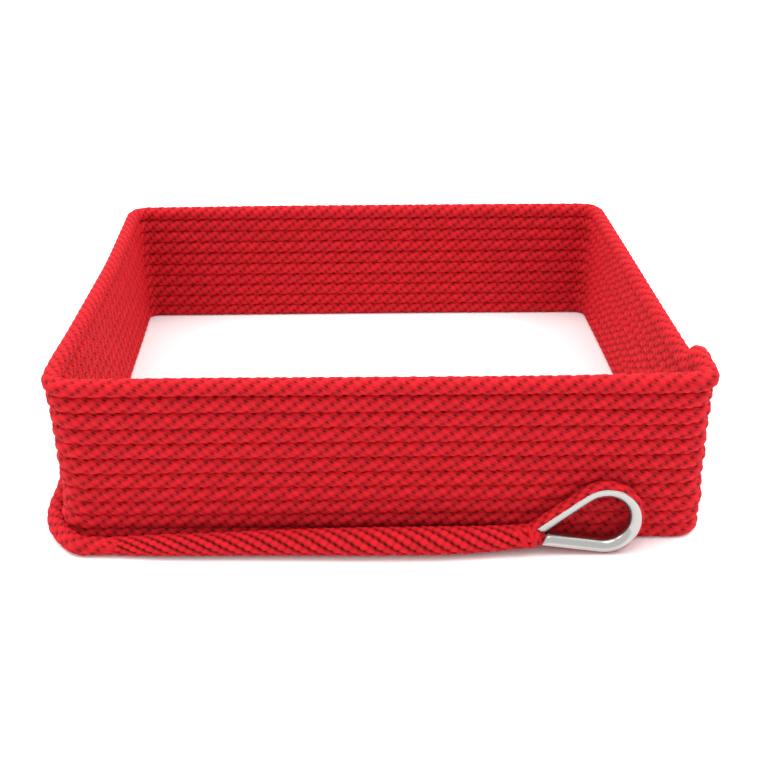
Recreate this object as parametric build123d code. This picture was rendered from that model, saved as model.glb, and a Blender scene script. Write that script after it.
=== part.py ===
from build123d import *
import math
import os

# Coiled dock line, millimetres. X runs along the front wall of the coil, +Y to the rear wall, +Z up.
# The working frame has the front wall's outer face at Y = 0 and the floor at Z = 0; export shifts it
# so that the origin is the centre of the footprint on the floor.

ROPE_D = 9.4              # 3/8 in line as it lies in the coil
ROPE_R = ROPE_D / 2
PITCH = 9.42              # height of one row
ROWS = 10                 # full turns
SETTLE = 0.25             # how far the lowest row is pressed flat on the floor
CORNER_R = 12.0           # centreline radius of the folds at the four corners
CORE_T = 6.0              # the strip that joins the rows inside the solid coil

FRONT_L = (-182.1, 0.0)   # outer corners of the footprint
FRONT_R = (182.1, 0.0)
REAR_R = (177.0, 325.9)
REAR_L = (-199.5, 325.9)
TOP_START_X = 150.0       # where the loose end leaves the top front row
FLOOR_CUT = 500.0         # height and half width of the block that cuts at floor level

ROW_SHY = 0.02            # the rows are drawn this much thinner, so that they don't quite touch
RUN_SHY = 0.1             # the runs that cross them this much
LOOSE_SHY = 0.05          # and the loose runs this much
LEFT_DIP = ((120.0, 6.0), (240.0, -0.5))   # along the left wall: the top row's height over the tenth level
DIP_R = 300.0             # radius of its gentle bends
FOOT_SLIP = ((-198.2, 190.0), (-199.7, 216.0))   # where the foot's run lies once it has slipped outside
FOOT_RUN = (120.0, 150.0)   # where along the left wall it leaves the row above it
FOOT_R = 60.0
TOP_MID = (-20.0, -0.05)  # the top row's middle along X, and how far it stands out there

BIGHT_C = (-211.5, 386.0)   # the bight behind the rear left corner
BIGHT_R = 28.6
BIGHT_ANGLES = (-18, 54, 126, 198)
BIGHT_RUN_IN = 40.0         # how far the lead goes straight on before it
CORNER_A = (-192.8, 14.9, ROPE_R)    # the line's points round the front left corner
CORNER_B = (-173.5, -8.5, ROPE_R)
CORNER_MID = tuple((a + b) / 2 for a, b in zip(CORNER_A, CORNER_B))

GAP = 0.3                 # clearance to whatever moves

EYE_C = (124.3, -7.9, 21.0)   # centre of the eye's round end
EYE_LEAN = 5.0            # the eye leans back on the wall, in degrees
EYE_TURN = 14.8           # and its point is turned down
EYE_R_IN = 13.3           # clear radius of the thimble
EYE_HALF = 22.7           # half the angle between its arms, in degrees
THIMBLE_DEPTH = 6.3       # from the clear hole to the flange's edge
EYE_ROPE_R = 3.3          # the line is pressed into the groove
EYE_ROPE_SEAT = 4.3       # its centre, from the clear hole
ARM_END = {1: -35.5, -1: -33.7}   # where the thimble's upper and lower arms end, from the eye's centre
THROAT_U = -46.0          # where the line's two arms meet inside the splice
GUTTER_R = 5.3            # outside radius of the thimble's half-round groove
GUTTER_T = 0.9
ARM_SLOT = 1.0            # the open slot between the ends of the arms
EYE_BLOCK = (100.0, 40.0, 30.0)   # a block larger than one half of the eye

NECK_SHARE = 0.9          # the neck's one bend takes this share of its shorter run
TAIL_R = 4.2              # the tail inside the splice
COVER_T = 2.8             # the least wall of line round it


def row_z(level):
    return PITCH / 2 - SETTLE + (level - 1) * PITCH


def ring_corners(inset):
    """Footprint corners moved in by inset, in order front left, front right, rear right, rear left."""
    outer = [Vector(*p, 0) for p in (FRONT_L, FRONT_R, REAR_R, REAR_L)]
    out = []
    for i, c in enumerate(outer):
        a = (c - outer[i - 1]).normalized()
        b = (outer[(i + 1) % 4] - c).normalized()
        na = Vector(-a.Y, a.X, 0)
        nb = Vector(-b.Y, b.X, 0)
        half = (na + nb).normalized()
        out.append(c + half * (inset / (half.dot(na))))
    return out


def ring_wire(inset, z, radius):
    pts = [p + Vector(0, 0, z) for p in ring_corners(inset)]
    return FilletPolyline(*pts, radius=radius, close=True)


def arc_radii(pts, share=0.45):
    """Fillet radius at each inner point of a run: a share of the shorter run over tan(half the turn)."""
    out = []
    for a, b, c in zip(pts, pts[1:], pts[2:]):
        turn = (b - a).get_angle(c - b)
        out.append(share * min((b - a).length, (c - b).length) / math.tan(math.radians(turn / 2)))
    return out


def cord(name, points, radius):
    """A round tube along straight runs joined by tangent arcs."""
    pts = [Vector(*p) for p in points]
    radii = arc_radii(pts)
    path = FilletPolyline(*pts, radius=radii)
    start = Plane(origin=path @ 0, z_dir=path % 0)
    tube = sweep(start * Circle(radius), path=path)
    want = math.pi * radius ** 2 * path.length
    print(name, "length", round(path.length, 1), "radii", [round(r, 1) for r in radii])
    print(name, "volume", round(tube.volume, 1), "section x length", round(want, 1))
    return tube


def run_along(name, points, radii):
    """A run that is fused to the coil, and its path."""
    path = FilletPolyline(*[Vector(*p) for p in points], radius=radii)
    tube = sweep(Plane(origin=path @ 0, z_dir=path % 0) * Circle(ROPE_R - RUN_SHY), path=path)
    want = math.pi * (ROPE_R - RUN_SHY) ** 2 * path.length
    print(name, "radii", radii, "volume", round(tube.volume, 1), "section x length", round(want, 1))
    return tube, path


def make_coil():
    """Ten rows round the footprint, the top front row above them and the stub that the lead goes on from."""
    row = ring_wire(ROPE_R, 0, CORNER_R)
    first = row.edges().sort_by(Axis.Y)[0]
    start = Plane(origin=first @ 0.5, z_dir=first % 0.5)
    one = sweep(start * Circle(ROPE_R - ROW_SHY), path=row)
    outer = make_face(ring_wire(ROPE_R - CORE_T / 2, 0, CORNER_R + CORE_T / 2))
    inner = make_face(ring_wire(ROPE_R + CORE_T / 2, 0, CORNER_R - CORE_T / 2))
    core = extrude(outer - inner, (ROWS - 1) * PITCH)
    body = Pos(0, 0, row_z(1)) * core
    rows = [Pos(0, 0, row_z(level)) * one for level in range(1, ROWS + 1)]
    body = body.fuse(*rows)
    fl, _, _, rl = ring_corners(ROPE_R)
    lean = (rl.X - fl.X) / (rl.Y - fl.Y)
    top = [
        (TOP_START_X, fl.Y, row_z(ROWS + 1)),
        (TOP_MID[0], fl.Y + TOP_MID[1], row_z(ROWS + 1)),
        (fl.X, fl.Y, row_z(ROWS + 1)),
        *((fl.X + lean * run, fl.Y + run, row_z(ROWS) + rise) for run, rise in LEFT_DIP),
    ]
    body = body.fuse(run_along("top row", top, [DIP_R, CORNER_R, DIP_R])[0])
    foot = [
        *((fl.X + lean * run, fl.Y + run, ROPE_R) for run in FOOT_RUN),
        *((x, y, ROPE_R) for x, y in FOOT_SLIP),
    ]
    stub, path = run_along("foot", foot, [FOOT_R, FOOT_R])
    body = body.fuse(stub)
    # the lowest row rests on a narrow flat band
    body = body - Pos(0, 0, -FLOOR_CUT / 2) * Box(2 * FLOOR_CUT, 2 * FLOOR_CUT, FLOOR_CUT)
    print("coil solids", len(body.solids()), "stub end", path @ 1, path % 1)
    return body.solids().sort_by(SortBy.VOLUME)[-1], path @ 1, path % 1


def make_bitter_end(coil_y):
    z11 = row_z(ROWS + 1)
    pts = [
        (TOP_START_X, coil_y, z11),
        (159.0, coil_y, z11),
        (170.0, coil_y - 0.1, z11 + 0.5),
        (178.8, 7.5, z11 + 1.2),
        (177.8, 34.0, z11 + 3.2),
        (184.9, 48.0, 95.5),
        (189.6, 60.0, 75.0),
        (189.7, 78.0, 42.0),
        (189.6, 100.0, 12.0),
        (190.0, 128.0, 4.75),
        (187.4, 190.0, 4.75),
        (190.0, 240.0, 4.75),
    ]
    return cord("bitter_end", pts, ROPE_R - LOOSE_SHY)


def make_lead(stub_end, stub_dir):
    """From the stub, round the bight behind the rear left corner and back along the left wall's foot."""
    z = ROPE_R
    ring = BIGHT_R / math.cos(math.radians((BIGHT_ANGLES[1] - BIGHT_ANGLES[0]) / 2))
    loop = []
    for deg in BIGHT_ANGLES:
        a = math.radians(deg)
        loop.append((BIGHT_C[0] + ring * math.cos(a), BIGHT_C[1] + ring * math.sin(a), z))
    pts = [
        (stub_end.X, stub_end.Y, z),
        (stub_end.X + BIGHT_RUN_IN * stub_dir.X, stub_end.Y + BIGHT_RUN_IN * stub_dir.Y, z),
        (-206.0, 308.0, z),
        (-206.2, 352.0, z),
        *loop,
        (-218.0, 354.0, z),
        (-216.5, 300.0, z),
        (-213.5, 215.0, z),
        (-204.0, 130.0, z),
        (-193.6, 56.0, z),
        CORNER_A,
        CORNER_MID,
    ]
    return cord("lead", pts, ROPE_R - LOOSE_SHY)


def splice_stations():
    """X, Y, radius and height of the centre along the splice, which rises from the floor to the eye."""
    return [
        (-150.0, -9.2, 4.70, 4.7),
        (-138.0, -9.7, 5.5, 5.6),
        (-124.6, -10.6, 6.3, 6.4),
        (-91.0, -10.9, 6.8, 6.9),
        (-57.0, -10.7, 7.5, 7.6),
        (-12.0, -11.4, 8.2, 8.3),
        (32.0, -11.5, 8.3, 8.4),
        (44.0, -11.2, 8.0, 8.3),
        (55.0, -10.5, 7.5, 8.4),
        (66.5, -9.7, 7.1, 8.7),
        (78.0, -9.0, 7.0, 9.1),
        (84.0, -8.7, 6.9, 9.6),
    ]


def through(circles):
    """One smooth solid through circles that all face along X."""
    faces = [Plane(origin=(x, y, z), x_dir=(0, 1, 0), z_dir=(1, 0, 0)) * Circle(r) for x, y, r, z in circles]
    return loft(faces)


def make_splice():
    mid = Vector(*CORNER_MID)
    along = (Vector(*CORNER_B) - Vector(*CORNER_A)).normalized()
    first = splice_stations()[0]
    pts = [mid + along * GAP, Vector(*CORNER_B), Vector(first[0], first[1], ROPE_R)]
    radii = arc_radii(pts, NECK_SHARE)
    path = FilletPolyline(*pts, radius=radii)
    neck = sweep(Plane(origin=path @ 0, z_dir=path % 0) * Circle(ROPE_R), path=path)
    outer = through(splice_stations())
    tail = through([(x, y, min(TAIL_R, r - COVER_T), z) for x, y, r, z in splice_stations()[1:]])
    body = (neck + outer).solids().sort_by(SortBy.VOLUME)[-1]
    print("splice neck radius", [round(r, 1) for r in radii])
    return body - tail, body, tail


def eye_plane():
    lean = math.radians(EYE_LEAN)
    turn = math.radians(EYE_TURN)
    up = Vector(0, math.sin(lean), math.cos(lean))
    across = Vector(1, 0, 0)
    u = across * math.cos(turn) + up * math.sin(turn)
    return Plane(origin=EYE_C, x_dir=u, z_dir=Vector(0, -math.cos(lean), math.sin(lean)))


def teardrop_half(radius, tip_u, side):
    """Half a teardrop in the eye's own plane, from the crown's far point to the end of one arm."""
    half = math.radians(EYE_HALF)
    tx = -radius * math.sin(half)
    ty = side * radius * math.cos(half)
    tangent = (tx, ty)
    mid_a = math.radians((90 + EYE_HALF) / 2)
    mid = (radius * math.cos(mid_a), side * radius * math.sin(mid_a))
    crown = ThreePointArc((radius, 0), mid, tangent)
    run = (tx - tip_u) / math.cos(half)
    end = (tx - run * math.cos(half), ty - side * run * math.sin(half))
    return Wire([crown, Line(tangent, end)])


def gutter_section():
    """The groove's wall: half round at the seat, with straight flanges, at the eye's far point."""
    c = EYE_R_IN + GUTTER_R
    top = EYE_R_IN + THIMBLE_DEPTH
    r = GUTTER_R
    q = GUTTER_R - GUTTER_T
    outer = [
        Line((top, 0, r), (c, 0, r)),
        ThreePointArc((c, 0, r), (c - r, 0, 0), (c, 0, -r)),
        Line((c, 0, -r), (top, 0, -r)),
    ]
    inner = [
        Line((top, 0, -q), (c, 0, -q)),
        ThreePointArc((c, 0, -q), (c - q, 0, 0), (c, 0, q)),
        Line((c, 0, q), (top, 0, q)),
    ]
    ends = [Line((top, 0, -r), (top, 0, -q)), Line((top, 0, q), (top, 0, r))]
    return make_face(Wire(outer + [ends[0]] + inner + [ends[1]]))


def half_space(side, end, slot):
    """One side of the eye's centre line, towards its crown (end = 1) or its throat (end = -1)."""
    length, width, height = EYE_BLOCK
    return Pos(end * length / 2, side * (width + slot) / 2, 0) * Box(length, width, height)


def make_thimble(where):
    solid = None
    for side in (1, -1):
        path = teardrop_half(EYE_R_IN, ARM_END[side], side)
        arm = sweep(gutter_section(), path=path)
        arm = arm & (half_space(side, -1, ARM_SLOT) + half_space(side, 1, 0))
        solid = arm if solid is None else solid + arm
    solid = solid.solids().sort_by(SortBy.VOLUME)[-1]
    return where * solid


def make_eye_rope(where, splice_filled):
    loop = None
    for side in (1, -1):
        radius = EYE_R_IN + EYE_ROPE_SEAT
        path = teardrop_half(radius, THROAT_U, side)
        section = Plane(origin=(radius, 0, 0), z_dir=(0, 1, 0)) * Circle(EYE_ROPE_R)
        arm = sweep(section, path=path)
        loop = arm if loop is None else loop + arm
    loop = where * loop
    loop = loop - splice_filled
    return loop.solids().sort_by(SortBy.VOLUME)[-1]


def main():
    coil, stub_end, stub_dir = make_coil()
    fl = ring_corners(ROPE_R)[0]
    bitter = make_bitter_end(fl.Y)
    lead = make_lead(stub_end, stub_dir)
    splice, filled, tail = make_splice()
    where = eye_plane()
    thimble = make_thimble(where)
    eye = make_eye_rope(where, filled)
    parts = {
        "coil": coil, "bitter_end": bitter, "lead": lead, "splice": splice,
        "buried_tail": tail, "eye_rope": eye, "thimble": thimble,
    }
    solids = [p if isinstance(p, Solid) else p.solids()[0] for p in parts.values()]
    box = Compound(children=solids).bounding_box()
    shift = Pos(-(box.min.X + box.max.X) / 2, -(box.min.Y + box.max.Y) / 2, -box.min.Z)
    print("shift", shift.position, "size", box.size)
    os.makedirs("parts", exist_ok=True)
    for name, part in parts.items():
        solids = part.solids()
        print(name, "solids", len(solids), "volume", round(part.volume, 1), "valid", part.is_valid)
        export_step(shift * solids[0], f"parts/{name}.step")


main()
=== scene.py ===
import math

import bpy
import numpy as np
from mathutils import Matrix, Vector


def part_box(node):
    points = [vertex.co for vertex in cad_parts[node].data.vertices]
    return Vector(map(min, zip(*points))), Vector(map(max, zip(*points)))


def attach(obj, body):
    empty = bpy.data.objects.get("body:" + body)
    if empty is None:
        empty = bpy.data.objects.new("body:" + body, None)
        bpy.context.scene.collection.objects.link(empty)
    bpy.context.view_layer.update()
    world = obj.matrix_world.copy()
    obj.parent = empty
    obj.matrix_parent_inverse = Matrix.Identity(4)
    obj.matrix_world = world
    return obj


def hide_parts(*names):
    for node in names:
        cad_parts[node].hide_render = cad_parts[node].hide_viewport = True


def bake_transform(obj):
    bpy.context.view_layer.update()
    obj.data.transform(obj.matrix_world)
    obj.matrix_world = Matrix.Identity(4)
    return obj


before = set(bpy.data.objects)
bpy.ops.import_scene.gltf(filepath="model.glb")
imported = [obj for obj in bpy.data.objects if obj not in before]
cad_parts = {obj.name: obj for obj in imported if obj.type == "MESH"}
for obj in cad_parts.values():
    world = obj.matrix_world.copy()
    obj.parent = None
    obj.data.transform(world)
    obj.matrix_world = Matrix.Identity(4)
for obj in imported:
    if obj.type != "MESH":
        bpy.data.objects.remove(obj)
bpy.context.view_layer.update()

# Metres. Points are written in the coil's own frame (X along the front wall, Y = 0 at its outer face,
# Z up from the floor) and moved by OFFSET into the row frame.
coil_low, coil_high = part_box("coil")
OFFSET = np.array([coil_high.x - 0.18208, coil_low.y - 0.00002, 0.0])

LINE_R = 0.0051            # outside radius of the line at its stitches' tops, packed in the coil
LOOSE_R = 0.0052           # where it lies free
BENT_R = 0.0058            # and where a loose run is bent round a corner
PACKED_TALL = 1.10         # packed rows press into each other: their height over their width
PRESSED_FLAT = 0.0001      # and nothing goes lower than this on the floor
FLOOR_Z = 0.0049
PITCH_FRONT = 0.00942      # height of one row at the front wall
PITCH_REAR = 0.00928       # the rear wall is packed a little tighter
LOWEST_Z = 0.0047
ROWS = 10
FRONT_LEFT = (-0.1776, 0.0047)
FRONT_RIGHT = (0.1773, 0.0047)
REAR_RIGHT = (0.1724, 0.3212)
REAR_LEFT = (-0.1945, 0.3212)
CORNER_RUN = 0.028         # control points this far each side of a corner

# ---------------------------------------------------------------- camera

FOCAL_MM = 51.31
PITCH_DOWN = math.radians(27.668)
YAW = math.radians(-0.007)
ROLL = math.radians(-0.4928)
EYE = np.array([-0.0003, -0.50695, 0.37009]) + OFFSET


def make_camera():
    level = math.cos(PITCH_DOWN)
    forward = Vector((math.sin(YAW) * level, math.cos(YAW) * level, -math.sin(PITCH_DOWN)))
    right = Vector((math.cos(YAW), -math.sin(YAW), 0))
    above = right.cross(forward)
    x_axis = math.cos(ROLL) * right + math.sin(ROLL) * above
    y_axis = -math.sin(ROLL) * right + math.cos(ROLL) * above
    data = bpy.data.cameras.new("camera")
    data.lens = FOCAL_MM
    data.sensor_width = 36.0
    data.clip_start = 0.01
    camera = bpy.data.objects.new("camera", data)
    turn = Matrix((x_axis, y_axis, -forward)).transposed().to_4x4()
    camera.matrix_world = Matrix.Translation(Vector(EYE)) @ turn
    bpy.context.scene.collection.objects.link(camera)
    bpy.context.scene.camera = camera


# ---------------------------------------------------------------- the line's path

rng = np.random.default_rng(7)


def loose(amount):
    """A small seeded difference, as hand-laid rows have."""
    return float(np.clip(rng.normal(0, amount), -1.8 * amount, 1.8 * amount))


# how far each row has settled below an even pitch, from the lowest row up
SETTLED = (0.0, 0.0008, 0.0011, 0.0014, 0.0016, 0.0015, 0.0012, 0.0012, 0.0012, 0.0009, 0.0006)
# how far each row's front left corner stands out
LEFT_OUT = (0.0018, 0.0016, 0.0010, 0.0005, 0.0002, 0.0, 0.0, 0.0, 0.0, 0.0014, 0.0014)


REAR_SETTLED = 0.7         # the rear wall's share of that settling
FOOT_LEAN = 0.0019         # how far the lowest rows stand out at the right wall
SLACK = 0.0004             # how far a row strays from its place,
FOLD_SLACK = 0.0003        # just before the front left fold,
AFTER_SLACK = 0.0002       # and just after the front right one
LEFT_IN = 0.0015           # a row comes to and leaves the left folds this far off their corner,
RIGHT_IN = 0.0005          # and the right ones this far
DESCENT = (                # along the left wall: run from the front corner, height over the row below
    (0.066, 0.0090), (0.110, 0.0066), (0.160, 0.0030), (0.205, 0.0006), (0.255, 0.0),
)
REAR_X = (-0.075, 0.060)   # points along the rear wall
REAR_OUT = 0.0006          # and how far it bulges there
RIGHT_WALL = ((0.1740, 0.215, 0.3), (0.1756, 0.110, 0.7))   # X, Y, share of the way to the front's height
FRONT_X = (0.085, 0.015, -0.065)   # points along the front wall


def front_z(level):
    return LOWEST_Z + (level - 1) * PITCH_FRONT - SETTLED[level - 1]


def rear_z(level):
    return LOWEST_Z + (level - 1) * PITCH_REAR - REAR_SETTLED * SETTLED[level - 1]


def foot_lean(level):
    """The lower rows stand further out at the right wall."""
    return FOOT_LEAN * min((ROWS - level) / (ROWS - 2), 1)


# the bitter end: on the floor outside the right wall, up the wall and round the loose top corner
BITTER_END = [
    (0.1900, 0.240, FLOOR_Z),
    (0.1880, 0.190, FLOOR_Z),
    (0.1905, 0.128, FLOOR_Z),
    (0.1912, 0.100, 0.0120),
    (0.1912, 0.078, 0.0400),
    (0.1902, 0.062, 0.0700),
    (0.1862, 0.050, 0.0900),
    (0.1762, 0.039, 0.0998),
    (0.1788, 0.0090, 0.0990),
    (0.1700, 0.0046, 0.0988),
    (0.1590, 0.0047, 0.0985),
    (0.1100, 0.0047, 0.0982),
    (0.0400, 0.0042, 0.0984),
    (-0.0300, 0.0045, 0.0985),
    (-0.1000, 0.0049, 0.0985),
]


def front_left_corner(level):
    x, y = FRONT_LEFT
    x -= LEFT_OUT[level - 1]
    z = front_z(level)
    slack = loose(SLACK)
    return [
        (x + CORNER_RUN, y - loose(FOLD_SLACK), z),
        (x - slack, y - slack, z),
        (x - LEFT_IN - slack, y + CORNER_RUN, z),
    ]


def left_wall(level):
    """From the front corner's height at this level down one row by the rear corner."""
    low = rear_z(level - 1)
    x, y = FRONT_LEFT
    slope = (REAR_LEFT[0] - x) / (REAR_LEFT[1] - y)
    return [(x + slope * run - loose(SLACK), y + run, low + rise) for run, rise in DESCENT]


def turn(level):
    """One turn from the rear left corner, round the rear, right and front walls, to the front left corner."""
    zr = rear_z(level)
    zf = front_z(level)
    lean = foot_lean(level)
    slack = [loose(SLACK) for _ in range(3)]
    rl, rr, fr = REAR_LEFT, REAR_RIGHT, FRONT_RIGHT
    return [
        (rl[0] + LEFT_IN, rl[1] - CORNER_RUN, zr),
        (rl[0] - slack[0], rl[1] + slack[0], zr),
        (rl[0] + CORNER_RUN, rl[1], zr),
        *((x, rl[1] + REAR_OUT + loose(SLACK), zr) for x in REAR_X),
        (rr[0] - CORNER_RUN, rr[1], zr),
        (rr[0] + slack[1], rr[1] + slack[1], zr),
        (rr[0] + RIGHT_IN, rr[1] - CORNER_RUN, zr),
        *((x + lean + loose(SLACK), y, zr + share * (zf - zr)) for x, y, share in RIGHT_WALL),
        (fr[0] - RIGHT_IN + lean, fr[1] + CORNER_RUN, zf),
        (fr[0] + slack[2] + lean, fr[1] - slack[2], zf),
        (fr[0] - CORNER_RUN + lean, fr[1] + loose(AFTER_SLACK), zf),
        *((x, fr[1] + loose(SLACK), zf) for x in FRONT_X),
    ]


# the lowest row goes on along the left wall's foot, slips outside and runs out to the bight
FOOT = [
    (-0.1824, 0.056, FLOOR_Z),
    (-0.1852, 0.092, FLOOR_Z),
    (-0.1920, 0.128, FLOOR_Z),
    (-0.1972, 0.172, FLOOR_Z),
    (-0.1997, 0.216, FLOOR_Z),
    (-0.2020, 0.256, FLOOR_Z),
    (-0.2060, 0.308, FLOOR_Z),
    (-0.2062, 0.352, FLOOR_Z),
]
BIGHT_CENTRE = (-0.2115, 0.386)
BIGHT_R = 0.0286
BIGHT_STEP = 30            # degrees between the bight's points
LEAD = [
    (-0.2180, 0.354, FLOOR_Z),
    (-0.2165, 0.300, FLOOR_Z),
    (-0.2135, 0.215, FLOOR_Z),
    (-0.2040, 0.130, FLOOR_Z),
    (-0.1936, 0.056, FLOOR_Z),
    (-0.19345, 0.044, FLOOR_Z),
]
# round the front left corner to the splice
CORNER = [
    (-0.19345, 0.044, FLOOR_Z),
    (-0.1934, 0.0185, FLOOR_Z),
    (-0.1748, -0.0078, FLOOR_Z),
    (-0.1620, -0.0090, FLOOR_Z),
    (-0.1480, -0.0093, 0.0052),
]
SPLICE = [
    (-0.1600, -0.0091, FLOOR_Z),
    (-0.1500, -0.0092, 0.0051),
    (-0.1380, -0.0097, 0.0055),
    (-0.1246, -0.0106, 0.0064),
    (-0.0910, -0.0109, 0.0069),
    (-0.0570, -0.0107, 0.0076),
    (-0.0120, -0.0114, 0.0083),
    (0.0320, -0.0115, 0.0084),
    (0.0550, -0.0105, 0.0084),
    (0.0665, -0.0097, 0.0087),
    (0.0780, -0.0090, 0.0091),
    (0.0850, -0.0087, 0.0097),
]
SPLICE_RADII = (           # X, outside radius
    (-0.160, 0.0044), (-0.154, 0.0051), (-0.138, 0.0058), (-0.1246, 0.0062), (-0.091, 0.0067),
    (-0.057, 0.0074), (-0.012, 0.0081), (0.032, 0.0082), (0.044, 0.0080), (0.055, 0.0077),
    (0.0665, 0.0073), (0.078, 0.0070), (0.085, 0.0064),
)


def bight():
    ring = BIGHT_R / math.cos(math.radians(BIGHT_STEP / 2))
    out = []
    for deg in range(-15, 196, BIGHT_STEP):
        a = math.radians(deg)
        out.append((BIGHT_CENTRE[0] + ring * math.cos(a), BIGHT_CENTRE[1] + ring * math.sin(a), FLOOR_Z))
    return out


def coil_points():
    points = list(BITTER_END)
    for level in range(ROWS + 1, 1, -1):
        points += front_left_corner(level)
        points += left_wall(level)
        points += turn(level - 1)
    points += front_left_corner(1)
    return points + FOOT + bight() + LEAD


def placed(points):
    return [tuple(np.array(p) + OFFSET) for p in points]


def open_nurbs(name, points):
    curve = bpy.data.curves.new(name, "CURVE")
    curve.dimensions = "3D"
    curve.resolution_u = 12
    spline = curve.splines.new("NURBS")
    spline.points.add(len(points) - 1)
    for knot, p in zip(spline.points, points):
        knot.co = (*p, 1.0)
    spline.order_u = 3
    spline.use_endpoint_u = True
    return bpy.data.objects.new(name, curve)


def points_on(curve_object):
    mesh = bpy.data.meshes.new_from_object(curve_object)
    out = np.array([v.co for v in mesh.vertices])
    bpy.data.meshes.remove(mesh)
    return out


def length_of(points):
    return float(np.linalg.norm(np.diff(points, axis=0), axis=1).sum())


# ---------------------------------------------------------------- the braid

def tone_of(number, repeat):
    """A shade from 0 to 1 that looks random but is always the same for the same stitch."""
    return np.modf(np.abs(np.sin(number * 12.9898 + repeat * 78.233) * 43758.5453))[0]


class Stitches:
    """One repeat of a braid's surface, by place along and round it: raised stitches with pits between them.

    Lengths are in metres and leans in degrees. Each of the lines along the braid starts its stitches at
    a shift after its neighbour's. The surface is sampled at along by around places.
    """

    def __init__(self, pitch, lines, shift, round_length, half_long, half_wide, lean,
                 pit_long, pit_wide, pit_lean, along, around, depth, pit_depth):
        self.pitch = pitch
        self.along = along
        self.around = around
        x = (np.arange(along) * pitch / along)[:, None]
        y = (np.arange(around) * round_length / around)[None, :]
        bump = np.zeros((along, around))
        pit = np.zeros((along, around))
        number = np.zeros((along, around))
        spacing = round_length / lines
        for line in range(-2, lines + 3):
            for k in range(-3, 4):
                start = (line * shift) % pitch + k * pitch
                # the pit at the lattice point, the stitch half-way to the next pit down its own slope
                dx, dy = turned(x - start, y - line * spacing, pit_lean)
                pit = np.maximum(pit, np.exp(-((dx / pit_long) ** 2 + (dy / pit_wide) ** 2)))
                cx = start + (shift - pitch) / 2
                dx, dy = turned(x - cx, y - (line + 0.5) * spacing, lean)
                inside = 1 - (dx / half_long) ** 2 - (dy / half_wide) ** 2
                height = np.sqrt(np.clip(inside, 0, 1))
                number = np.where(height > bump, (line % lines) * 7 + 3 * ((line * 5) % 4), number)
                bump = np.maximum(bump, height)
        self.bump = bump
        self.pit = pit
        self.number = number
        self.drop = depth * (1 - bump) + pit_depth * pit

    def of_rings(self, count, first):
        index = (np.arange(count) + first) % self.along
        repeat = (np.arange(count) + first) // self.along
        shade = tone_of(self.number[index], repeat[:, None])
        return self.drop[index], self.bump[index], self.pit[index], shade


def turned(x, y, degrees):
    a = math.radians(degrees)
    return x * math.cos(a) + y * math.sin(a), -x * math.sin(a) + y * math.cos(a)


LINE_BRAID = Stitches(
    pitch=0.0099, lines=12, shift=0.0033, round_length=2 * math.pi * LINE_R,
    half_long=0.0049, half_wide=0.0021, lean=159.5, pit_long=0.0016, pit_wide=0.00060, pit_lean=146,
    along=16, around=60, depth=0.0009, pit_depth=0.0010,
)
SPLICE_BRAID = Stitches(
    pitch=0.0092, lines=18, shift=-0.0092 * 7 / 18, round_length=2 * math.pi * 0.0075,
    half_long=0.0029, half_wide=0.0024, lean=-12, pit_long=0.0014, pit_wide=0.0006, pit_lean=-40,
    along=14, around=90, depth=0.0014, pit_depth=0.0008,
)


class Rings:
    """Even stations along a line, each with a direction to the side and one up."""

    def __init__(self, points, braid):
        self.length = length_of(points)
        run = np.concatenate([[0], np.cumsum(np.linalg.norm(np.diff(points, axis=0), axis=1))])
        count = max(int(round(self.length / (braid.pitch / braid.along))), 2)
        s = np.linspace(0, self.length, count + 1)
        self.centre = np.stack([np.interp(s, run, points[:, k]) for k in range(3)], axis=1)
        ahead = np.gradient(self.centre, axis=0)
        ahead = smooth(ahead, 5)
        ahead /= np.linalg.norm(ahead, axis=1)[:, None]
        side = np.cross(ahead, (0, 0, 1))
        side /= np.linalg.norm(side, axis=1)[:, None]
        self.side = side
        self.up = np.cross(side, ahead)
        self.ahead = ahead


def smooth(values, width):
    kernel = np.ones(width) / width
    padded = np.concatenate([values[:1].repeat(width // 2, 0), values, values[-1:].repeat(width // 2, 0)])
    return np.stack([np.convolve(padded[:, k], kernel, "valid") for k in range(values.shape[1])], axis=1)


def mesh_object(name, verts, quads, material, attributes, caps=()):
    mesh = bpy.data.meshes.new(name)
    mesh.vertices.add(len(verts))
    mesh.vertices.foreach_set("co", np.ascontiguousarray(verts, dtype=np.float32).ravel())
    corner = quads.ravel().tolist()
    start = list(range(0, len(corner), 4))
    for cap in caps:
        start.append(len(corner))
        corner += list(cap)
    mesh.loops.add(len(corner))
    mesh.loops.foreach_set("vertex_index", corner)
    mesh.polygons.add(len(start))
    mesh.polygons.foreach_set("loop_start", start)
    mesh.update(calc_edges=True)
    mesh.shade_smooth()
    for key, values in attributes.items():
        layer = mesh.attributes.new(key, "FLOAT", "POINT")
        layer.data.foreach_set("value", np.ascontiguousarray(values, dtype=np.float32).ravel())
    mesh.materials.append(material)
    obj = bpy.data.objects.new(name, mesh)
    bpy.context.scene.collection.objects.link(obj)
    return obj


def round_rings(centre, side, up, r, theta):
    """Points round each ring, at radius r and angle theta from its side towards its up."""
    return (
        centre[:, None, :]
        + (r * np.cos(theta))[:, :, None] * side[:, None, :]
        + (r * np.sin(theta))[:, :, None] * up[:, None, :]
    ).reshape(-1, 3)


def end_caps(rings, around):
    return [list(range(around)), list(range((rings - 1) * around, rings * around))[::-1]]


def angles(around):
    return 2 * math.pi * np.arange(around) / around


def grid_quads(rings, around):
    i = (np.arange(rings - 1) * around)[:, None]
    j = np.arange(around)[None, :]
    k = (j + 1) % around
    return np.stack([i + j, i + around + j, i + around + k, i + k], axis=-1).reshape(-1, 4)


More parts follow.
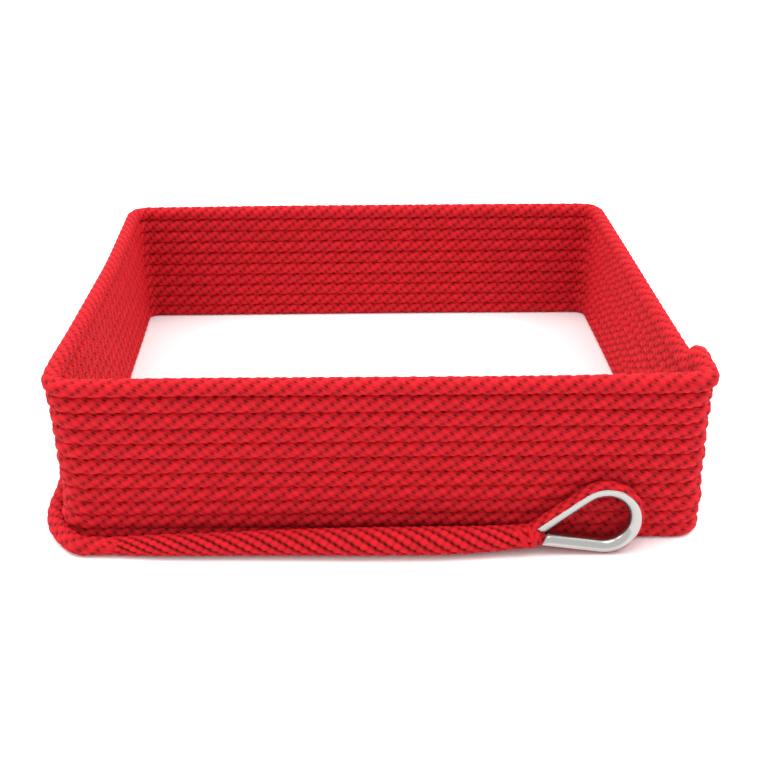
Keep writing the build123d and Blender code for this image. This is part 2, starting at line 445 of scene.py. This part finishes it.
def braided(name, rings, braid, radius, first, last, phase, material, twist=0.0):
    """The stretch of braid from ring first to ring last, closed at both ends."""
    count = last - first + 1
    pick = slice(first, last + 1)
    drop, bump, pit, shade = braid.of_rings(count, first + phase)
    every = len(rings.centre)
    theta = angles(braid.around)[None, :] + np.broadcast_to(twist, (every,))[pick, None]
    r = np.broadcast_to(radius, (every,))[pick, None] - drop
    verts = round_rings(rings.centre[pick], rings.side[pick], rings.up[pick], r, theta)
    verts[:, 2] = np.maximum(verts[:, 2], PRESSED_FLAT)
    n = braid.around
    facts = {"bump": bump, "pit": pit, "shade": shade}
    return mesh_object(name, verts, grid_quads(count, n), material, facts, end_caps(count, n))


# ---------------------------------------------------------------- materials

STITCH_TONES = (0.90, 1.08)   # the darkest and the brightest stitch
FIBRE_SCALE = 1600         # fine relief of the yarn
FIBRE_HEIGHT = 0.0003
FIBRE_STRENGTH = 0.35
LINE_SPECULAR = 0.15


def node_material(name):
    material = bpy.data.materials.new(name)
    material.use_nodes = True
    tree = material.node_tree
    return material, tree.nodes, tree.links, tree.nodes["Principled BSDF"]


def line_material(name, pit_shade_colour, groove_shade_colour, high_colour, roughness):
    """Red braid: painted shade darkens the grooves between stitches and, darker still, the pits; the stitch
    tops keep the braid's red, each stitch a slightly different tone.
    """
    material, nodes, links, shader = node_material(name)
    shader.inputs["Roughness"].default_value = roughness
    shader.inputs["Specular IOR Level"].default_value = LINE_SPECULAR
    height = nodes.new("ShaderNodeAttribute")
    height.attribute_name = "bump"
    pit = nodes.new("ShaderNodeAttribute")
    pit.attribute_name = "pit"
    shade = nodes.new("ShaderNodeAttribute")
    shade.attribute_name = "shade"
    # painted shade: the ramp darkens the red from the stitch tops down into the grooves between them
    body = nodes.new("ShaderNodeValToRGB")
    body.color_ramp.elements[0].position = 0.05
    body.color_ramp.elements[0].color = (*groove_shade_colour, 1)
    body.color_ramp.elements[1].position = 0.95
    body.color_ramp.elements[1].color = (*high_colour, 1)
    links.new(height.outputs["Fac"], body.inputs["Fac"])
    tone = nodes.new("ShaderNodeMapRange")
    tone.inputs["To Min"].default_value, tone.inputs["To Max"].default_value = STITCH_TONES
    links.new(shade.outputs["Fac"], tone.inputs["Value"])
    vary = nodes.new("ShaderNodeHueSaturation")
    links.new(tone.outputs["Result"], vary.inputs["Value"])
    links.new(body.outputs["Color"], vary.inputs["Color"])
    # painted shade: the pits are mixed towards a near-black red
    mix = nodes.new("ShaderNodeMix")
    mix.data_type = "RGBA"
    mix.inputs["B"].default_value = (*pit_shade_colour, 1)
    links.new(vary.outputs["Color"], mix.inputs["A"])
    links.new(pit.outputs["Fac"], mix.inputs["Factor"])
    links.new(mix.outputs["Result"], shader.inputs["Base Color"])
    fibre = nodes.new("ShaderNodeTexNoise")
    fibre.inputs["Scale"].default_value = FIBRE_SCALE
    fibre.inputs["Detail"].default_value = 2
    place = nodes.new("ShaderNodeTexCoord")
    links.new(place.outputs["Object"], fibre.inputs["Vector"])
    relief = nodes.new("ShaderNodeBump")
    relief.inputs["Strength"].default_value = FIBRE_STRENGTH
    relief.inputs["Distance"].default_value = FIBRE_HEIGHT
    links.new(fibre.outputs["Fac"], relief.inputs["Height"])
    links.new(relief.outputs["Normal"], shader.inputs["Normal"])
    return material


def plain_material(name, colour, roughness, metallic=0.0):
    material, nodes, links, shader = node_material(name)
    shader.inputs["Base Color"].default_value = (*colour, 1)
    shader.inputs["Roughness"].default_value = roughness
    shader.inputs["Metallic"].default_value = metallic
    return material


# the pit and groove colours are painted shade; the high colour is the braid's own red
LINE_RED = line_material(
    "line_red", pit_shade_colour=(0.022, 0.0003, 0.0009), groove_shade_colour=(0.32, 0.0030, 0.0070),
    high_colour=(0.58, 0.0088, 0.0165), roughness=0.75,
)
CORE_RED = plain_material("line_core", (0.10, 0.002, 0.004), 0.8)
MELTED = plain_material("melted_end", (0.30, 0.004, 0.010), 0.25)
STEEL = plain_material("satin_steel", (0.43, 0.425, 0.41), 0.22, 1.0)

# ---------------------------------------------------------------- the coil, the lead and the bitter end

CORE_R = 0.0036            # the strands inside the braid
PIECES = 16
# the line's outside radius by metres from the bitter end, and by metres back from the corner piece
HEAD_RADII = (
    (0, LOOSE_R), (0.21, LOOSE_R), (0.25, BENT_R), (0.31, BENT_R),
    (0.35, LOOSE_R), (0.95, LOOSE_R), (1.05, LINE_R),
)
TAIL_RADII = ((-0.9, LINE_R), (-0.8, LOOSE_R), (0, LOOSE_R))
TWISTS = ((2.2, 5.3, 0.0), (1.3, 13.7, 1.0))   # slow turns of the braid: radians, waves in all, phase


def make_coil():
    curve = open_nurbs("line_core", placed(coil_points()))
    path = points_on(curve)
    rings = Rings(path, LINE_BRAID)
    last = len(rings.centre) - 1
    s = np.linspace(0, 1, last + 1)
    twist = sum(size * np.sin(2 * math.pi * waves * s + phase) for size, waves, phase in TWISTS)
    radii = [*HEAD_RADII, *((rings.length + back, r) for back, r in TAIL_RADII)]
    radius = np.interp(s * rings.length, *zip(*radii))
    tall = np.interp(radius, (LINE_R, LOOSE_R), (PACKED_TALL, 1.0))
    rings.up *= tall[:, None]
    cuts = np.linspace(0, last, PIECES + 1).astype(int)
    pieces = []
    for k in range(PIECES):
        name = f"line_{k + 1:02d}"
        pieces.append(braided(name, rings, LINE_BRAID, radius, cuts[k], cuts[k + 1], 0, LINE_RED, twist))
    end = melted_end(rings)
    curve.data.bevel_depth = CORE_R
    curve.data.bevel_resolution = 2
    curve.data.use_fill_caps = True
    curve.data.materials.append(CORE_RED)
    bpy.context.scene.collection.objects.link(curve)
    for piece in [curve, end] + pieces:
        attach(piece, "coil_body")
    return last, twist[-1]


MELTED_STEPS = (           # from its tip inward: run along the line, share of its radius
    (-0.0022, 0.08), (-0.0021, 0.55), (-0.0016, 0.86), (-0.0008, 1.02), (0.0004, 1.03), (0.0020, 1.0),
)
MELTED_AROUND = 32
MELTED_WAVE = 0.03         # how uneven it is, as a share of its radius


def melted_end(rings):
    """The bitter end is cut hot: a hard, slightly swollen cap."""
    theta = angles(MELTED_AROUND)
    run, share = (np.array(values)[:, None] for values in zip(*MELTED_STEPS))
    r = LINE_R * share * (1 + MELTED_WAVE * np.sin(3 * theta + 40 * run))
    count = len(MELTED_STEPS)
    centre = rings.centre[0] + run * rings.ahead[0]
    side, up = (np.broadcast_to(way[0], (count, 3)) for way in (rings.side, rings.up))
    verts = round_rings(centre, side, up, r, theta)
    verts[:, 2] = np.maximum(verts[:, 2], PRESSED_FLAT)
    caps = end_caps(count, MELTED_AROUND)
    return mesh_object("melted_end", verts, grid_quads(count, MELTED_AROUND), MELTED, {}, caps)


# ---------------------------------------------------------------- the corner, the splice and the eye

EYE_CENTRE = np.array([0.1243, -0.0079, 0.0210])
EYE_LEAN = math.radians(5.0)
EYE_TURN = math.radians(14.8)
EYE_HALF = math.radians(22.7)
EYE_R = 0.0133             # clear radius
EYE_LINE_CENTRE = 0.0179   # the line's centre in the groove
EYE_LINE_R = 0.0049
EYE_LINE_SQUASH = 0.88     # how much the groove flattens it
EYE_LINE_TURN = 0.4        # which way its braid is turned, in radians
THROAT = -0.046            # where its two arms meet inside the splice
EYE_STEP = 15              # degrees between the crown's points
CORNER_RADII = ((0, LOOSE_R), (0.3, BENT_R), (0.7, BENT_R), (1, 0.92 * LOOSE_R))   # by share of its length


def eye_axes():
    up = np.array([0, math.sin(EYE_LEAN), math.cos(EYE_LEAN)])
    along = np.array([math.cos(EYE_TURN), 0, 0]) + math.sin(EYE_TURN) * up
    out = np.array([0, -math.cos(EYE_LEAN), math.sin(EYE_LEAN)])
    out /= np.linalg.norm(out)
    return along, np.cross(out, along), out


def in_eye(u, v, w=0.0):
    along, across, out = eye_axes()
    return EYE_CENTRE + u * along + v * across + w * out


def make_eye_end(phase, twist):
    path = points_on(open_nurbs("corner_path", placed(CORNER)))
    rings = Rings(path, LINE_BRAID)
    count = len(rings.centre)
    radius = np.interp(np.linspace(0, 1, count), *zip(*CORNER_RADII))
    corner = braided("line_corner", rings, LINE_BRAID, radius, 0, count - 1, phase, LINE_RED, twist)
    splice_path = points_on(open_nurbs("splice_path", placed(SPLICE)))
    rings = Rings(splice_path, SPLICE_BRAID)
    radius = np.interp(rings.centre[:, 0] - OFFSET[0], *zip(*SPLICE_RADII))
    splice = braided("splice_cover", rings, SPLICE_BRAID, radius, 0, len(rings.centre) - 1, 0, LINE_RED)
    eye_line = make_eye_line()
    for piece in (splice, eye_line):
        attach(piece, "eye_end")
    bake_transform(corner)
    [corner, eye_line, make_thimble()] + make_tucks()


THIMBLE_DEPTH = 0.0063     # from the clear hole to the flange's edge
GROOVE_R = 0.0053          # outside radius of its half-round groove
STEEL_T = 0.0009
ARM_RUN = {1: 0.0329, -1: 0.0310}     # straight run of the upper and the lower arm
ARM_SLANT = {1: 0.10, -1: 0.25}       # how much further each arm's outer edge reaches than its inner one
ARM_GAP = 0.0005           # half the slot between the arms
GROOVE_STEPS = 16
LIP_STEPS = 5
ARM_STATIONS = 12
CROWN_STATIONS = 46


def groove_profile():
    """The steel's section as (distance from the eye's centre, height off its plane), with rounded lips."""
    seat = EYE_R + GROOVE_R
    lip = STEEL_T / 2
    edge = EYE_R + THIMBLE_DEPTH - lip
    out = []
    for k in range(GROOVE_STEPS + 1):
        a = math.radians(-90 + 180 * k / GROOVE_STEPS)
        out.append((seat - GROOVE_R * math.cos(a), GROOVE_R * math.sin(a)))
    for k in range(LIP_STEPS + 1):
        a = math.radians(90 - 180 * k / LIP_STEPS)
        out.append((edge + lip * math.cos(a), GROOVE_R - lip + lip * math.sin(a)))
    bore = GROOVE_R - STEEL_T
    for k in range(GROOVE_STEPS + 1):
        a = math.radians(90 - 180 * k / GROOVE_STEPS)
        out.append((seat - bore * math.cos(a), bore * math.sin(a)))
    for k in range(LIP_STEPS + 1):
        a = math.radians(90 - 180 * k / LIP_STEPS)
        out.append((edge + lip * math.cos(a), lip - GROOVE_R + lip * math.sin(a)))
    return np.array(out)


def make_thimble():
    profile = groove_profile()
    edge = math.pi / 2 + EYE_HALF
    stations = [(-1, run) for run in np.linspace(ARM_RUN[-1], 0, ARM_STATIONS)[:-1]]
    stations += [(0, a) for a in np.linspace(-edge, edge, CROWN_STATIONS)]
    stations += [(1, run) for run in np.linspace(0, ARM_RUN[1], ARM_STATIONS)[1:]]
    rings = []
    for side, place in stations:
        r = profile[:, 0]
        if side == 0:
            u, v = r * math.cos(place), r * math.sin(place)
        else:
            reach = place * (1 + ARM_SLANT[side] * (r - EYE_R) / ARM_RUN[side])
            u = r * math.cos(edge) - reach * math.sin(edge)
            v = side * (r * math.sin(edge) + reach * math.cos(edge))
            v = np.maximum(v, ARM_GAP) if side > 0 else np.minimum(v, -ARM_GAP)
        rings.append([in_eye(a, b, c) for a, b, c in zip(u, v, profile[:, 1])])
    verts = np.array(rings).reshape(-1, 3) + OFFSET
    n = len(profile)
    caps = end_caps(len(stations), n)
    thimble = mesh_object("thimble_steel", verts, grid_quads(len(stations), n), STEEL, {}, caps)
    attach(thimble, "eye_end")
    return thimble


# strands tucked across the throat: where each starts along X, its first and last angle round the splice,
# how far it runs along X and how far it stands off the splice's centre
TUCKS = (
    (0.0740, -75, 105, 0.0090, 0.0062),
    (0.0815, 95, -85, 0.0070, 0.0060),
    (0.0800, -60, 150, 0.0060, 0.0058),
    (0.0700, 110, 260, 0.0110, 0.0060),
)
TUCK_R = 0.0017
TUCK_SINK = 0.0016         # how deep its ends go into the splice
TUCK_POINTS = 9
TUCK_AROUND = 24
TUCK_YARNS = 6             # ridges round a strand,
TUCK_TWIST = 0.35          # turned by this much at each ring,
TUCK_RIDGE = 0.1           # and this share of its radius high


def make_tucks():
    splice_line = np.array(SPLICE)
    tucks = []
    for number, (x0, first, last, run, reach) in enumerate(TUCKS):
        points = []
        for share in np.linspace(0, 1, TUCK_POINTS):
            x = x0 + run * (1 - share)
            a = math.radians(first + (last - first) * share)
            y = np.interp(x, splice_line[:, 0], splice_line[:, 1])
            z = np.interp(x, splice_line[:, 0], splice_line[:, 2])
            out = reach - TUCK_SINK * (2 * share - 1) ** 4
            points.append((x, y - out * math.cos(a), max(z + out * math.sin(a), TUCK_R)))
        rings = Rings(points_on(open_nurbs("tuck_path", placed(points))), LINE_BRAID)
        theta = angles(TUCK_AROUND)
        count = len(rings.centre)
        ridge = 0.5 + 0.5 * np.cos(TUCK_YARNS * theta[None, :] + TUCK_TWIST * np.arange(count)[:, None])
        r = TUCK_R * (1 - TUCK_RIDGE + TUCK_RIDGE * ridge)
        verts = round_rings(rings.centre, rings.side, rings.up, r, theta)
        # painted shade: the low parts between the strand's ridges take the braid's darker groove colour
        facts = {"bump": 0.55 + 0.45 * ridge, "pit": 0 * ridge, "shade": 0 * ridge + 0.5}
        name = f"throat_strand_{number + 1}"
        caps = end_caps(count, TUCK_AROUND)
        tuck = mesh_object(name, verts, grid_quads(count, TUCK_AROUND), LINE_RED, facts, caps)
        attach(tuck, "eye_end")
        tucks.append(tuck)
    return tucks


def eye_line_points():
    ring = EYE_LINE_CENTRE / math.cos(math.radians(EYE_STEP / 2))
    edge = 90 + math.degrees(EYE_HALF)
    tangent_u = -EYE_LINE_CENTRE * math.sin(EYE_HALF)
    tangent_v = EYE_LINE_CENTRE * math.cos(EYE_HALF)
    run = (tangent_u - THROAT) / math.cos(EYE_HALF)
    tip_v = tangent_v - run * math.sin(EYE_HALF)
    steps = int(2 * edge / EYE_STEP)
    crown = []
    for k in range(steps + 1):
        a = math.radians(-edge + (k + 0.5) * 2 * edge / (steps + 1))
        crown.append(in_eye(ring * math.cos(a), ring * math.sin(a)))
    start = in_eye(THROAT, -tip_v)
    finish = in_eye(THROAT, tip_v)
    return [start] + crown + [finish]


def make_eye_line():
    path = points_on(open_nurbs("eye_path", placed(eye_line_points())))
    rings = Rings(path, LINE_BRAID)
    along, across, out = eye_axes()
    rings.side = np.cross(rings.ahead, out)
    rings.side /= np.linalg.norm(rings.side, axis=1)[:, None]
    rings.up = np.cross(rings.side, rings.ahead)
    rings.side *= EYE_LINE_SQUASH
    last = len(rings.centre) - 1
    return braided("eye_line", rings, LINE_BRAID, EYE_LINE_R, 0, last, 0, LINE_RED, EYE_LINE_TURN)


# ---------------------------------------------------------------- floor and light

FLOOR_SIZE = 14
FLOOR_WHITE = (0.93, 0.93, 0.93)
SKY = 1.08
LIGHTS = (                 # name, place, size and watts
    ("right", (1.3, 0.1, 1.5), 1.2, 20),
    ("left", (-1.3, 0.1, 1.5), 1.2, 20),
    ("top", (0.0, -0.2, 2.0), 1.6, 15),
)
LIT_POINT = (0, 0, 0.05)   # what they face


def make_stage():
    bpy.ops.mesh.primitive_plane_add(size=FLOOR_SIZE, location=(0, 0, 0))
    floor = bpy.context.object
    floor.name = "floor"
    floor.data.materials.append(plain_material("floor_white", FLOOR_WHITE, 0.6))
    world = bpy.data.worlds.new("studio")
    world.use_nodes = True
    world.node_tree.nodes["Background"].inputs["Color"].default_value = (1, 1, 1, 1)
    world.node_tree.nodes["Background"].inputs["Strength"].default_value = SKY
    bpy.context.scene.world = world
    for name, place, size, watts in LIGHTS:
        soft_light(name, place, size, watts)
    bpy.context.scene.view_settings.view_transform = "Standard"


def soft_light(name, place, size, power):
    data = bpy.data.lights.new(name, "AREA")
    data.shape = "DISK"
    data.size = size
    data.energy = power
    light = bpy.data.objects.new(name, data)
    light.location = place
    light.rotation_euler = (Vector(LIT_POINT) - Vector(place)).to_track_quat("-Z", "Y").to_euler()
    bpy.context.scene.collection.objects.link(light)


make_camera()
next_ring, next_twist = make_coil()
make_eye_end(next_ring, next_twist)
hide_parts("coil", "bitter_end", "lead")
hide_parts("splice", "buried_tail")
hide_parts("eye_rope")
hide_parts("thimble")
make_stage()
